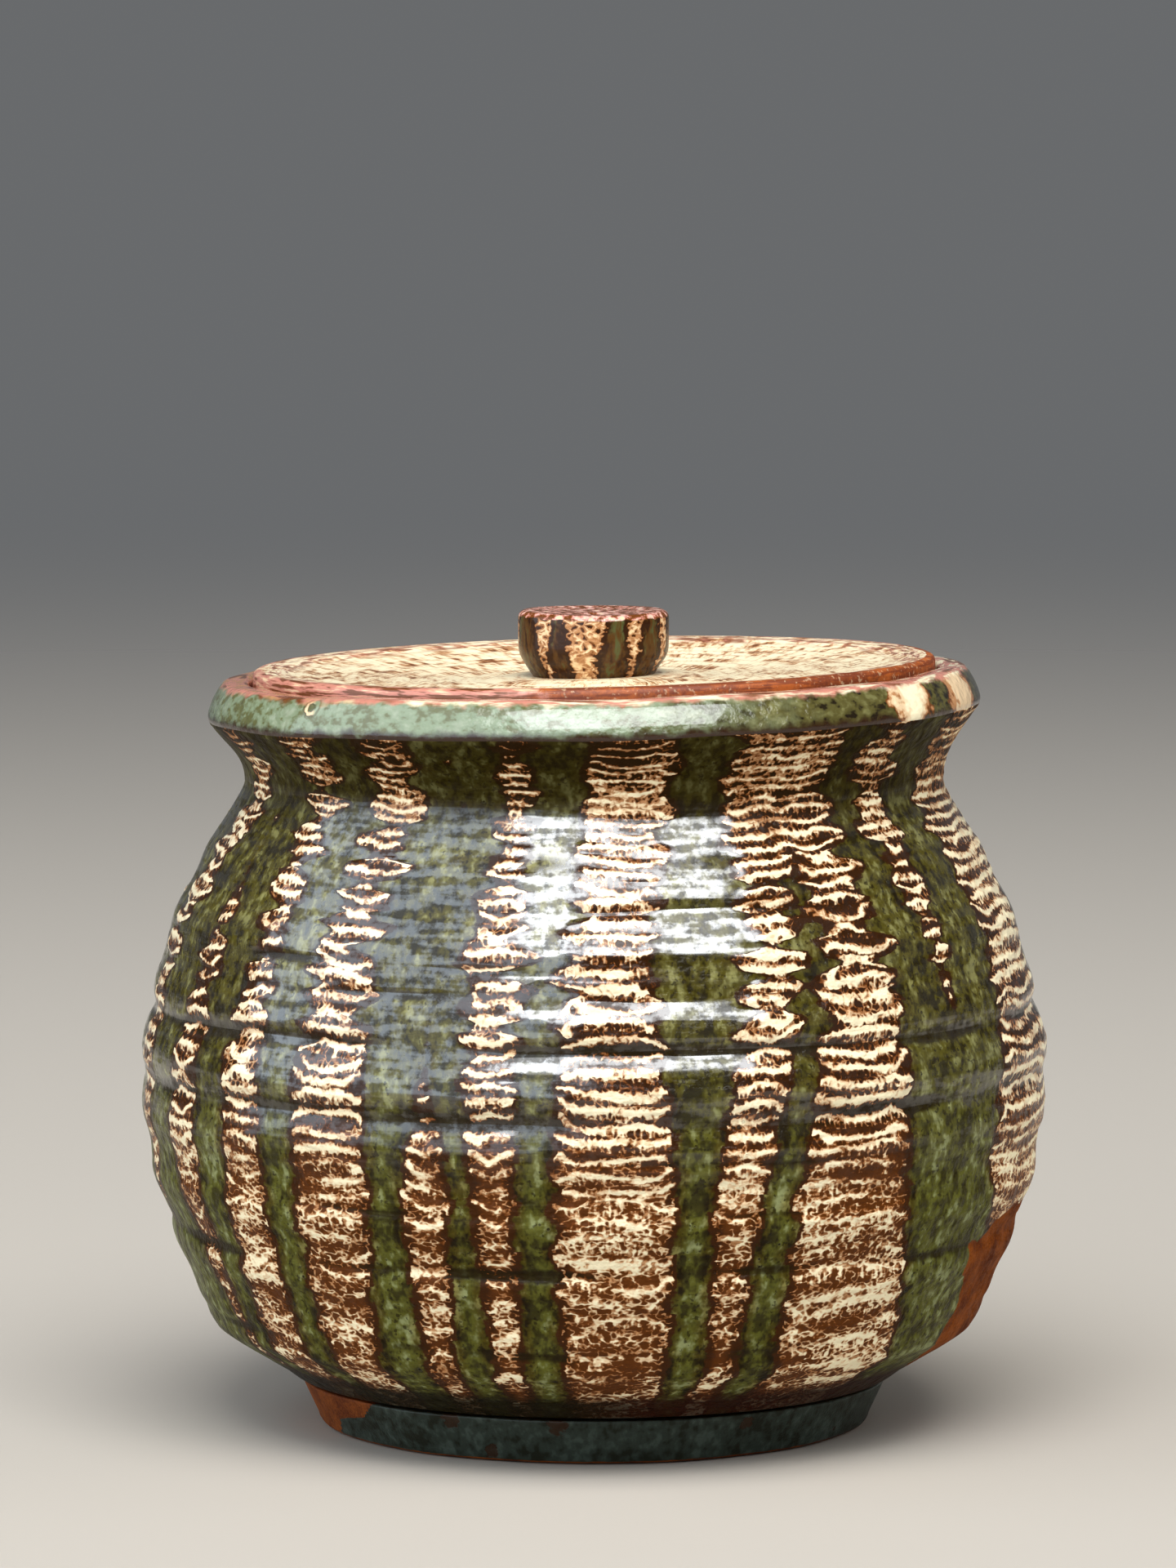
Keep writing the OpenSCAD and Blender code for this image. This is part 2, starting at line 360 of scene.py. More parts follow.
class Clay:
    """The vertices of a turned mesh as arrays, to be moved and given attributes."""

    def __init__(self, mesh):
        self.mesh = mesh
        flat = np.zeros(len(mesh.vertices) * 3, np.float32)
        mesh.vertices.foreach_get("co", flat)
        self.place = flat.reshape(-1, 3).astype(float) / MM
        self.along = np.zeros(len(mesh.vertices), np.float32)
        mesh.attributes["along"].data.foreach_get("value", self.along)
        self.angle = np.degrees(np.arctan2(self.place[:, 0], -self.place[:, 1]))
        self.radius = np.hypot(self.place[:, 0], self.place[:, 1])
        self.height = self.place[:, 2].copy()

    def swell(self, amount):
        """Moves each vertex outwards from the axis."""
        share = amount / np.maximum(self.radius, 1)
        self.place[:, :2] += self.place[:, :2] * np.asarray(share)[:, None]

    def raise_by(self, amount):
        """Moves each vertex up."""
        self.place[:, 2] += amount

    def note(self, name, values):
        """Keeps a value at each vertex for the materials."""
        kept = self.mesh.attributes.new(name, "FLOAT", "POINT")
        kept.data.foreach_set("value", np.asarray(values, np.float32))

    def wear(self, cuts, materials):
        """Gives each stretch of the outline its material."""
        for material in materials:
            self.mesh.materials.append(material)
        corners = np.zeros(len(self.mesh.loops), np.int32)
        self.mesh.loops.foreach_get("vertex_index", corners)
        starts = np.zeros(len(self.mesh.polygons), np.int32)
        self.mesh.polygons.foreach_get("loop_start", starts)
        totals = np.zeros(len(self.mesh.polygons), np.int32)
        self.mesh.polygons.foreach_get("loop_total", totals)
        middle = np.add.reduceat(self.along[corners], starts) / totals
        self.mesh.polygons.foreach_set("material_index", np.digitize(middle, cuts).astype(np.int32))

    def finish(self, body, node):
        """Writes the moved vertices back and sets the piece in the place of its node."""
        self.mesh.vertices.foreach_set("co", (self.place * MM).astype(np.float32).ravel())
        self.mesh.attributes.remove(self.mesh.attributes["along"])
        self.mesh.update()
        piece = bpy.data.objects.new(self.mesh.name, self.mesh)
        bpy.context.scene.collection.objects.link(piece)
        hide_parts(node)
        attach(piece, body)


# Node materials

class Paint:
    """A short way to lay out shader nodes: each call adds a node or a few and gives back the output."""

    # Bend, drift and line width of the net, and how patterns stretch along rings, rays and strands
    NET_BEND, NET_DRIFT, NET_LINE = (1.5, 1.5, 1.1), 0.8, 0.40
    RING_SLOW = 0.16
    RAY_RADIUS, RAY_TWIST, RAY_SLOW = 40, 0.35, 0.2
    STRAND_APART = 11.0

    def __init__(self, tree):
        self.tree = tree

    def node(self, kind, **settings):
        made = self.tree.nodes.new(kind)
        for name, value in settings.items():
            setattr(made, name, value)
        return made

    def feed(self, socket, value):
        if isinstance(value, bpy.types.NodeSocket):
            self.tree.links.new(value, socket)
        elif socket.type == "RGBA" and len(value) == 3:
            socket.default_value = (*value, 1)
        else:
            socket.default_value = value

    def math(self, operation, first, second=0.0):
        made = self.node("ShaderNodeMath", operation=operation)
        self.feed(made.inputs[0], first)
        self.feed(made.inputs[1], second)
        return made.outputs[0]

    def add(self, *values):
        total = values[0]
        for value in values[1:]:
            total = self.math("ADD", total, value)
        return total

    def times(self, *values):
        total = values[0]
        for value in values[1:]:
            total = self.math("MULTIPLY", total, value)
        return total

    def flip(self, value):
        return self.math("SUBTRACT", 1.0, value)

    def waver(self, at, size, reach, detail=2.0):
        """A noise that swings about half the reach each way."""
        return self.times(self.math("SUBTRACT", self.noise(at, size, detail), 0.5), reach)

    def span(self, value, low, high, to_low=0.0, to_high=1.0):
        """The value's eased run from low to high, given as to_low to to_high."""
        made = self.node("ShaderNodeMapRange", interpolation_type="SMOOTHSTEP")
        for socket, number in zip(made.inputs[:5], (value, low, high, to_low, to_high)):
            self.feed(socket, number)
        return made.outputs[0]

    def mix(self, share, under, over):
        made = self.node("ShaderNodeMix", data_type="RGBA")
        self.feed(made.inputs["Factor"], share)
        self.feed(made.inputs[6], under)
        self.feed(made.inputs[7], over)
        return made.outputs[2]

    def stretch(self, at, scale):
        made = self.node("ShaderNodeVectorMath", operation="MULTIPLY")
        self.feed(made.inputs[0], at)
        self.feed(made.inputs[1], scale)
        return made.outputs[0]

    def noise(self, at, size, detail=2.0, rough=0.5):
        made = self.node("ShaderNodeTexNoise")
        self.feed(made.inputs["Vector"], at)
        self.feed(made.inputs["Scale"], 1 / size)
        self.feed(made.inputs["Detail"], detail)
        self.feed(made.inputs["Roughness"], rough)
        return made.outputs[0]

    def net(self, at, size):
        """A net of irregular cells: 1 on its lines, falling to 0 in the middle of a cell."""
        bent = self.node("ShaderNodeVectorMath", operation="MULTIPLY_ADD")
        drift = self.node("ShaderNodeTexNoise")
        self.feed(drift.inputs["Vector"], at)
        self.feed(drift.inputs["Scale"], self.NET_DRIFT / size)
        self.feed(drift.inputs["Detail"], 1.0)
        self.feed(bent.inputs[0], drift.outputs["Color"])
        self.feed(bent.inputs[1], [share * size for share in self.NET_BEND])
        self.feed(bent.inputs[2], at)
        made = self.node("ShaderNodeTexVoronoi", feature="DISTANCE_TO_EDGE")
        self.feed(made.inputs["Vector"], bent.outputs[0])
        self.feed(made.inputs["Scale"], 1 / size)
        return self.span(made.outputs["Distance"], 0.0, self.NET_LINE, 1.0, 0.0)

    def attribute(self, name):
        return self.node("ShaderNodeAttribute", attribute_name=name).outputs["Fac"]

    def at(self):
        """The place on the piece, in millimetres."""
        return self.stretch(self.node("ShaderNodeTexCoord").outputs["Object"], (1 / MM, 1 / MM, 1 / MM))

    def split(self, at):
        made = self.node("ShaderNodeSeparateXYZ")
        self.feed(made.inputs[0], at)
        return made.outputs

    def rings(self, at):
        """A place whose patterns run round the upright axis: slow along x and y, quick with the radius."""
        x, y, _ = self.split(at)
        radius = self.math("SQRT", self.add(self.times(x, x), self.times(y, y)))
        made = self.node("ShaderNodeCombineXYZ")
        self.feed(made.inputs[0], self.times(x, self.RING_SLOW))
        self.feed(made.inputs[1], self.times(y, self.RING_SLOW))
        self.feed(made.inputs[2], radius)
        return made.outputs[0]

    def rays(self, at):
        """A place whose patterns run out from the upright axis, with a slight twist."""
        x, y, _ = self.split(at)
        radius = self.math("SQRT", self.add(self.times(x, x), self.times(y, y), 0.01))
        made = self.node("ShaderNodeCombineXYZ")
        twist = self.times(radius, self.RAY_TWIST)
        for socket, part in zip(made.inputs, (x, y)):
            turned = self.times(self.math("DIVIDE", part, radius), self.RAY_RADIUS)
            self.feed(socket, self.add(turned, twist))
        self.feed(made.inputs[2], self.times(radius, self.RAY_SLOW))
        return made.outputs[0]

    def each_strand(self, at, number):
        """A place whose patterns run along one strand and start anew on the next."""
        x, y, _ = self.split(at)
        made = self.node("ShaderNodeCombineXYZ")
        self.feed(made.inputs[0], x)
        self.feed(made.inputs[1], y)
        self.feed(made.inputs[2], self.times(number, self.STRAND_APART))
        return made.outputs[0]

    def away(self, at, middle):
        """The distance from a point."""
        made = self.node("ShaderNodeVectorMath", operation="DISTANCE")
        self.feed(made.inputs[0], at)
        self.feed(made.inputs[1], middle)
        return made.outputs["Value"]

    def use(self, group, **values):
        """Places a node group and gives back its outputs by name."""
        made = self.node("ShaderNodeGroup", node_tree=group)
        for name, value in values.items():
            self.feed(made.inputs[name], value)
        return made.outputs

    def bump(self, height, depth):
        made = self.node("ShaderNodeBump")
        self.feed(made.inputs["Strength"], 1.0)
        self.feed(made.inputs["Distance"], depth * MM)
        self.feed(made.inputs["Height"], height)
        return made.outputs[0]


def node_group(name, inputs, outputs):
    """An empty shader group with named sockets: its paint, what enters it and what leaves it."""
    tree = bpy.data.node_groups.new(name, "ShaderNodeTree")
    for label, kind in inputs.items():
        tree.interface.new_socket(label, in_out="INPUT", socket_type="NodeSocket" + kind)
    for label, kind in outputs.items():
        tree.interface.new_socket(label, in_out="OUTPUT", socket_type="NodeSocket" + kind)
    enter = tree.nodes.new("NodeGroupInput")
    leave = tree.nodes.new("NodeGroupOutput")
    return Paint(tree), enter.outputs, leave.inputs


def strand_line(paint, at, band, course):
    """A place of each strand's own, how its thick line bows, and how far above that line a place lies."""
    towards_edge = paint.span(band, 0.0, BOW_REACH, 0.55, -0.45)
    pinch = paint.waver(paint.stretch(at, (0.3, 0.3, 1)), 4.0, 1.2, 0.0)
    count = paint.add(course, paint.waver(at, 2.0, 0.5), paint.times(pinch, towards_edge))
    strand_at = paint.each_strand(at, paint.math("FLOOR", count))
    bow = paint.waver(strand_at, 12.0, 2.6, 0.0)
    line = paint.add(0.5, paint.times(bow, towards_edge))
    return strand_at, bow, paint.math("SUBTRACT", paint.math("FRACT", count), line)


def slip_strands_group():
    """Crackled cream slip: strands of lace stacked up each band, each with a thick line that bows.

    Slip is its thickness: below 0 the ground shows, and above it the slip turns from thin to full.
    Worn slip, low on the jar and on the neck, has weaker lines and more lace.
    """
    paint, given, out = node_group(
        "slip_strands",
        {"At": "Vector", "Band": "Float", "Course": "Float", "Amount": "Float", "Worn": "Float"},
        {"Ground": "Float", "Slip": "Float"})
    at = given["At"]
    band = given["Band"]
    worn = given["Worn"]
    strand_at, bow, above_line = strand_line(paint, at, band, given["Course"])
    from_line = paint.math("ABSOLUTE", above_line)
    ragged = paint.add(paint.waver(at, 0.8, 1.4), paint.waver(strand_at, 4.0, 3.2, 1.0))
    edge = paint.add(band, ragged)
    outside = paint.span(edge, -0.5, 0.3, -2.4, 0.0)
    strong = paint.span(paint.noise(strand_at, 5.0, 1.0), 0.36, 0.60)
    crest = paint.times(paint.span(from_line, 0.0, 0.22, 1.0, 0.0), strong,
                        paint.span(worn, 0, 1, 1.0, 0.8))
    below = paint.times(paint.span(above_line, 0.04, -0.06), paint.span(bow, 0.25, -0.15, 0.25, 1.0))
    teeth = paint.waver(paint.stretch(at, (1.4, 1.4, 0.3)), 0.9, 2.6, 1.0)
    teeth = paint.times(paint.add(teeth, 0.25), below, paint.span(from_line, 0.04, 0.16))
    between = paint.times(paint.span(from_line, 0.10, 0.40), paint.span(worn, 0, 1, -0.9, -0.32))
    lace = paint.add(paint.net(paint.stretch(at, (1.0, 1.0, 0.85)), 1.15), -0.62)
    lace = paint.times(lace, paint.span(from_line, 0.06, 0.25, 0.6, 1.1), paint.span(worn, 0, 1, 0.9, 0.35))
    winding = paint.waver(paint.stretch(at, (0.7, 0.7, 1.2)), 1.15, 1.0, 1.0)
    winding = paint.times(paint.span(paint.math("ABSOLUTE", winding), 0.0, 0.14, 0.35, -0.5), worn)
    frayed = paint.waver(at, 0.6, 0.5, 1.0)
    rows = paint.waver(paint.stretch(at, (0.22, 0.22, 1)), 4.0, 1.0)
    rows = paint.times(rows, paint.span(worn, 0, 1, 1.2, 2.2))
    clouds = paint.add(paint.waver(at, 4.0, 1.4), paint.span(band, 0.0, 2.5, -0.15, 0.0))
    slip = paint.add(given["Amount"], crest, between, teeth, lace, winding, frayed, rows, clouds, outside)
    paint.feed(out["Ground"], paint.span(edge, -0.9, -0.4))
    paint.feed(out["Slip"], slip)
    return paint.tree


def mottled_glaze_group():
    """A running glaze: deep, middling and milky patches of its colour, with a fine broken grain."""
    paint, given, out = node_group(
        "mottled_glaze",
        {"At": "Vector", "Deep": "Color", "Body": "Color", "Milky": "Color"},
        {"Color": "Color", "Level": "Float"})
    at = given["At"]
    broad = paint.noise(at, 6.5, 3.0, 0.55)
    fine = paint.noise(paint.stretch(at, (1, 1, 0.65)), 1.5, 2.0, 0.55)
    level = paint.add(paint.times(broad, 0.4), paint.times(fine, 0.6))
    body = paint.mix(paint.span(level, 0.40, 0.52), given["Deep"], given["Body"])
    paint.feed(out["Color"], paint.mix(paint.span(level, 0.52, 0.65), body, given["Milky"]))
    paint.feed(out["Level"], level)
    return paint.tree


def specks_group():
    """Scattered round specks, such as pinholes or iron spots, and the raised rim round each."""
    paint, given, out = node_group(
        "specks",
        {"At": "Vector", "Spacing": "Float", "Share": "Float", "Reach": "Float"},
        {"Mask": "Float", "Rim": "Float"})
    made = paint.node("ShaderNodeTexVoronoi")
    paint.feed(made.inputs["Vector"], given["At"])
    paint.feed(made.inputs["Scale"], paint.math("DIVIDE", 1.0, given["Spacing"]))
    chance = paint.node("ShaderNodeSeparateColor")
    paint.feed(chance.inputs[0], made.outputs["Color"])
    rare = paint.math("LESS_THAN", chance.outputs[0], given["Share"])
    size = paint.times(given["Reach"], paint.add(0.5, chance.outputs[1]))
    away = paint.math("DIVIDE", made.outputs["Distance"], size)
    paint.feed(out["Mask"], paint.times(rare, paint.span(away, 1.0, 0.6)))
    paint.feed(out["Rim"], paint.times(rare, paint.span(away, 0.8, 1.1), paint.span(away, 1.7, 1.2)))
    return paint.tree


def bare_clay_group():
    """Unglazed fired clay: fine grain, a darker flush and sandy pits."""
    paint, given, out = node_group(
        "bare_clay",
        {"At": "Vector", "Light": "Color", "Dark": "Color"},
        {"Color": "Color", "Height": "Float"})
    at = given["At"]
    flush = paint.noise(at, 5, 3.0, 0.6)
    grain = paint.noise(at, 0.35, 2.0, 0.6)
    share = paint.add(paint.times(flush, 0.65), paint.times(grain, 0.35))
    paint.feed(out["Color"], paint.mix(paint.span(share, 0.36, 0.62), given["Dark"], given["Light"]))
    paint.feed(out["Height"], grain)
    return paint.tree


SLIP_STRANDS = slip_strands_group()
MOTTLED_GLAZE = mottled_glaze_group()
SPECKS = specks_group()
BARE_CLAY = bare_clay_group()

# Colours, as linear red, green and blue
BRIGHT_CREAM = (0.92, 0.83, 0.58)
CREAM = (0.78, 0.58, 0.36)
TAN = (0.46, 0.225, 0.095)
RUST = (0.15, 0.042, 0.006)
DARK_RUST = (0.028, 0.009, 0.0015)
OLIVE_DEEP = (0.012, 0.007, 0.001)
OLIVE = (0.060, 0.045, 0.004)
OLIVE_MILKY = (0.190, 0.172, 0.050)
MOSS_DEEP = (0.034, 0.030, 0.005)
MOSS = (0.092, 0.093, 0.014)
MOSS_MILKY = (0.240, 0.268, 0.120)
NECK_DARK = (0.014, 0.008, 0.001)
# Hem: the glaze's dark edge and red clay above the foot, set darker still as painted shade under the belly
HEM_DARK = (0.009, 0.006, 0.001)
HEM_RED = (0.022, 0.004, 0.001)
LIP_GREEN = (0.205, 0.262, 0.160)
LIP_PALE = (0.27, 0.32, 0.22)
LIP_DEEP = (0.11, 0.115, 0.04)
LIP_OLIVE = (0.085, 0.075, 0.018)
LIP_OLIVE_MILKY = (0.16, 0.155, 0.055)
PINK = (0.55, 0.22, 0.16)
PALE_PINK = (0.72, 0.46, 0.42)
KNOB_BROWN = (0.080, 0.034, 0.006)
KNOB_OLIVE = (0.076, 0.084, 0.028)
CLAY_LIGHT = (0.25, 0.065, 0.009)
CLAY_DARK = (0.09, 0.018, 0.003)
EDGE_CLAY_LIGHT = (0.40, 0.095, 0.010)
EDGE_CLAY_DARK = (0.15, 0.026, 0.003)
# Foot glaze: blue-grey, set darker than its own colour as painted shade under the belly
FOOT_GREY = (0.026, 0.036, 0.028)
FOOT_DEEP = (0.012, 0.014, 0.008)
FOOT_PALE = (0.050, 0.068, 0.056)
LINER = (0.10, 0.070, 0.022)
LINER_DEEP = (0.045, 0.026, 0.008)
LINER_MILKY = (0.17, 0.15, 0.075)


def new_material(name, roughness, coat=0.0, coat_roughness=0.05, ior=1.5, shine=0.5):
    """A Principled material with its even values set: its paint, its shader and the place on the piece."""
    material = bpy.data.materials.new(name)
    material.use_nodes = True
    shader = material.node_tree.nodes["Principled BSDF"]
    shader.inputs["Roughness"].default_value = roughness
    shader.inputs["IOR"].default_value = ior
    shader.inputs["Specular IOR Level"].default_value = shine
    shader.inputs["Coat Weight"].default_value = coat
    shader.inputs["Coat Roughness"].default_value = coat_roughness
    shader.inputs["Coat IOR"].default_value = ior
    paint = Paint(material.node_tree)
    return material, paint, shader.inputs, paint.at()


def slip_colour(paint, slip, under, dull):
    """Lays slip over a colour: rust where it starts, then tan, cream and bright cream, less where dull."""
    full = paint.math("SUBTRACT", slip, paint.times(dull, 0.12))
    colour = paint.mix(paint.span(slip, -0.45, -0.15), under, RUST)
    colour = paint.mix(paint.span(slip, -0.25, 0.05), colour, TAN)
    colour = paint.mix(paint.span(full, -0.05, 0.30), colour, CREAM)
    # Bright cream on the thickest slip, along the strands' crests, is partly a painted highlight
    return paint.mix(paint.span(full, 0.28, 0.75), colour, BRIGHT_CREAM)


def wall_green(paint, at, height, band):
    """The glaze between the bands: olive at a band's edge and on the shoulder, sage lower down."""
    olive = paint.use(MOTTLED_GLAZE, At=at, Deep=OLIVE_DEEP, Body=OLIVE, Milky=OLIVE_MILKY)
    moss = paint.use(MOTTLED_GLAZE, At=at, Deep=MOSS_DEEP, Body=MOSS, Milky=MOSS_MILKY)
    from_band = paint.add(paint.times(band, -1.0), paint.waver(at, 2.2, 2.5))
    core = paint.times(paint.span(from_band, 0.9, 2.6), paint.span(height, SAGE_FROM, SAGE_FULL, 0.25, 1.0))
    pits = paint.use(SPECKS, At=at, Spacing=2.4, Share=0.35, Reach=0.08)
    glaze = paint.mix(core, olive["Color"], moss["Color"])
    spots = paint.span(paint.noise(at, 0.9, 2.0), 0.58, 0.68, 0.0, 0.75)
    glaze = paint.mix(spots, glaze, OLIVE_DEEP)
    # A faint pale ring round each pit: a painted glint on its raised rim
    glaze = paint.mix(paint.times(pits["Rim"], 0.08), glaze, LIP_PALE)
    glaze = paint.mix(paint.times(pits["Mask"], 0.9), glaze, NECK_DARK)
    relief = paint.add(paint.times(olive["Level"], 0.6), paint.times(pits["Mask"], -0.6),
                       paint.times(pits["Rim"], 0.3))
    return glaze, relief


def wall_hem_and_shade(paint, side, height, colour):
    """Lays a dark hem over the wall's colour above the foot: red on the right, nearly black on the left."""
    # The hem is partly the glaze's own dark edge and bare clay, partly painted shade under the belly
    hem = paint.span(height, HEM_FROM, HEM_FULL, 0.0, 0.95)
    return paint.mix(hem, colour, paint.mix(paint.span(side, -5, 10), HEM_DARK, HEM_RED))


def wall_gloss(paint, at, height, rings, ground):
    """Gloss on the upper wall below the neck, broken up by matt crystals and weaker on the slip."""
    crystals = paint.add(paint.times(paint.noise(at, 1.6, 4.0, 0.65), 0.5), paint.times(rings, 0.5))
    return paint.times(paint.span(height, GLOSS_FROM, GLOSS_FULL, 0.05, 1.0),
                       paint.span(height, NECK_MATT, NECK_GLOSSY),
                       paint.span(crystals, 0.42, 0.56, 0.2, 1.0),
                       paint.span(ground, 0, 1, 1.0, 0.68))


def striped_glaze():
    """The wall: olive glaze between bands of crackled cream slip on rust brown; painted shade on the neck.
    """
    material, paint, skin, at = new_material("striped_glaze", 0.3, coat_roughness=0.1, ior=1.8, shine=0.02)
    side, _, height = paint.split(at)
    band = paint.attribute("band")
    low = paint.span(height, WORN_FROM, WORN_FULL)
    patches = paint.waver(at, 2.4, 1.0, 3.0)
    neck = paint.span(paint.add(height, paint.times(patches, 8)), NECK_FROM, NECK_FULL)
    slip = paint.use(SLIP_STRANDS, At=at, Band=band, Course=paint.attribute("course"),
                     Amount=paint.attribute("slip_amount"), Worn=paint.add(low, paint.times(neck, 0.55)))
    glaze, relief = wall_green(paint, at, height, band)
    rusty = paint.times(paint.span(paint.add(low, patches), -0.1, 0.9, 0.0, 0.5),
                        paint.span(band, 0.3, 1.8, 0.2, 1.0))
    ground = paint.mix(rusty, DARK_RUST, RUST)
    colour = paint.mix(slip["Ground"], glaze, ground)
    groove = paint.span(paint.add(paint.attribute("groove"), paint.times(patches, 0.6)), 0.25, 0.65)
    colour = paint.mix(paint.times(groove, 0.9), colour, NECK_DARK)
    # Painted shade under the lip: the neck's colour goes most of the way to near-black olive
    colour = paint.mix(paint.times(neck, 0.6), colour, NECK_DARK)
    # The slip is dulled low on the wall, where it is worn, and more on the neck, as painted shade
    colour = slip_colour(paint, slip["Slip"], colour, paint.add(low, paint.times(neck, 2.2)))
    colour = wall_hem_and_shade(paint, side, paint.add(height, paint.times(patches, 2.5)), colour)
    clay = paint.use(BARE_CLAY, At=at, Light=CLAY_LIGHT, Dark=CLAY_DARK)
    bare = paint.span(paint.add(paint.attribute("bare"), paint.times(patches, 0.6)), 0.42, 0.58)
    paint.feed(skin["Base Color"], paint.mix(bare, colour, clay["Color"]))
    covered = paint.span(slip["Slip"], -0.1, 0.3)
    rough = paint.add(0.2, paint.times(covered, 0.18), paint.times(low, 0.15), paint.times(neck, 0.3),
                      paint.times(bare, 0.3))
    paint.feed(skin["Roughness"], rough)
    rings = paint.noise(paint.stretch(at, (0.12, 0.12, 1)), 1.2, 2.0)
    gloss = wall_gloss(paint, at, height, rings, slip["Ground"])
    paint.feed(skin["Coat Weight"], paint.times(gloss, paint.flip(bare)))
    dimples = paint.add(paint.times(paint.noise(at, 2.4, 3.0), 4.0), paint.times(rings, 1.6))
    bumps = paint.add(covered, relief, dimples, paint.times(groove, -0.4))
    paint.feed(skin["Normal"], paint.bump(bumps, 0.20))
    return material


def lip_blister(paint, at, side):
    """A broken bubble in the lip's glaze: masks of its pale crescent, its hollow and the shade round it."""
    # The pale crescent is a painted highlight on the bubble's left rim; the hollow and the ring round it
    # get painted shade
    away = paint.add(paint.away(at, BLISTER_AT), paint.waver(at, 1.0, 0.8))
    away = paint.math("DIVIDE", away, BLISTER)
    left = paint.span(side, BLISTER_AT[0] + BLISTER_SIDE, BLISTER_AT[0])
    crescent = paint.times(paint.span(away, 0.4, 0.55), paint.span(away, 0.85, 0.7), left)
    hollow = paint.span(away, 0.5, 0.35)
    shade = paint.times(paint.span(away, 0.7, 0.85), paint.span(away, 1.1, 0.95))
    return crescent, hollow, shade


def lip_patches(paint, at, side, up, colour):
    """Lays cream patches over the lip's colour: rust at the edge, then tan and cream, lacy on the right."""
    patch = paint.add(paint.attribute("patch"), paint.waver(at, 1.6, 5.0, 3.0), paint.waver(at, 4.5, 7.0),
                      paint.span(up, 0.0, 0.3, -1.5, 0.0))
    crazed = paint.add(patch, paint.waver(at, 0.9, 3.0), paint.span(side, LACE_FROM, LACE_FULL, 0.0, -1.0))
    bright = paint.times(paint.span(crazed, 1.4, 3.0), paint.span(side, BRIGHT_END, BRIGHT_FULL))
    colour = paint.mix(paint.span(patch, -0.7, 0.0), colour, RUST)
    colour = paint.mix(paint.span(patch, 0.0, 0.6), colour, TAN)
    colour = paint.mix(paint.span(crazed, 0.3, 1.3), colour, CREAM)
    return paint.mix(bright, colour, BRIGHT_CREAM)


def rim_glaze():
    """The lip: pale grey-green glaze that breaks to cream and rust over the edge and on the land."""
    material, paint, skin, at = new_material("rim_glaze", 0.2, coat=0.42, ior=1.6, shine=0.15)
    side = paint.split(at)[0]
    up = paint.add(paint.attribute("rim_turn"), paint.waver(at, 2.6, 0.22, 3.0))
    level = paint.stretch(at, (0.8, 0.8, 1.9))
    pale = paint.use(MOTTLED_GLAZE, At=level, Deep=LIP_DEEP, Body=LIP_GREEN, Milky=LIP_PALE)
    olive = paint.use(MOTTLED_GLAZE, At=level, Deep=OLIVE_DEEP, Body=LIP_OLIVE, Milky=LIP_OLIVE_MILKY)
    right = paint.span(paint.add(side, paint.waver(at, 5, 40, 3.0)), 5, 32)
    colour = paint.mix(right, pale["Color"], olive["Color"])
    colour = paint.mix(paint.span(up, 0.15, 0.02), colour, DARK_RUST)
    colour = lip_patches(paint, at, side, up, colour)
    crescent, hollow, shade = lip_blister(paint, at, side)
    # Painted highlight on the bubble's left rim, and painted shade in its hollow and in a ring round it
    colour = paint.mix(crescent, colour, CREAM)
    colour = paint.mix(paint.times(paint.math("MAXIMUM", hollow, shade), 0.7), colour, LIP_OLIVE)
    streak = paint.noise(paint.rings(at), 1.1, 3.0, 0.6)
    land = paint.mix(paint.span(side, -25, -45), BRIGHT_CREAM, TAN)
    land = paint.mix(paint.span(streak, 0.38, 0.52), land, PINK)
    land = paint.mix(paint.span(paint.noise(paint.rings(at), 2.2), 0.56, 0.64), land, RUST)
    paint.feed(skin["Base Color"], paint.mix(paint.span(up, 0.42, 0.50), colour, land))
    relief = paint.add(paint.noise(at, 1.4, 3.0), paint.times(paint.noise(at, 4.5), 2.0), crescent,
                       paint.times(hollow, -1.0))
    paint.feed(skin["Normal"], paint.bump(relief, 0.28))
    return material


def bare_clay():
    """Unglazed rust brown clay with turning marks."""
    material, paint, skin, at = new_material("bare_clay", 0.62, shine=0.25)
    clay = paint.use(BARE_CLAY, At=at, Light=CLAY_LIGHT, Dark=CLAY_DARK)
    marks = paint.noise(paint.rings(at), 0.9, 2.0)
    paint.feed(skin["Base Color"], paint.mix(paint.span(marks, 0.5, 0.75), clay["Color"], CLAY_DARK))
    paint.feed(skin["Normal"], paint.bump(paint.add(clay["Height"], marks), 0.08))
    return material


def liner_glaze():
    """The inside: a plain brown olive glaze."""
    material, paint, skin, at = new_material("liner_glaze", 0.22, coat=0.5)
    glaze = paint.use(MOTTLED_GLAZE, At=at, Deep=LINER_DEEP, Body=LINER, Milky=LINER_MILKY)
    paint.feed(skin["Base Color"], glaze["Color"])
    paint.feed(skin["Normal"], paint.bump(glaze["Level"], 0.10))
    return material


def lid_top(paint, at, flecks, broad):
    """The dish: cream with rust flecks along its turned lines, and pink and rust lines on its rim."""
    lines = paint.noise(paint.rings(at), 0.8, 3.0, 0.6)
    share = paint.add(paint.times(flecks, 0.45), paint.times(lines, 0.3), paint.times(broad, 0.25))
    colour = paint.mix(paint.span(share, 0.46, 0.53), BRIGHT_CREAM, CREAM)
    colour = paint.mix(paint.span(share, 0.51, 0.56), colour, TAN)
    colour = paint.mix(paint.span(share, 0.555, 0.61), colour, RUST)
    rim = paint.attribute("lid_rim")
    rim_lines = paint.add(paint.noise(paint.rings(at), 0.7, 2.0), paint.waver(at, 3.0, 0.2))
    colour = paint.mix(paint.times(rim, paint.span(rim_lines, 0.47, 0.54), 0.7), colour, PINK)
    return paint.mix(paint.times(rim, paint.span(rim_lines, 0.55, 0.60), 0.8), colour, RUST)


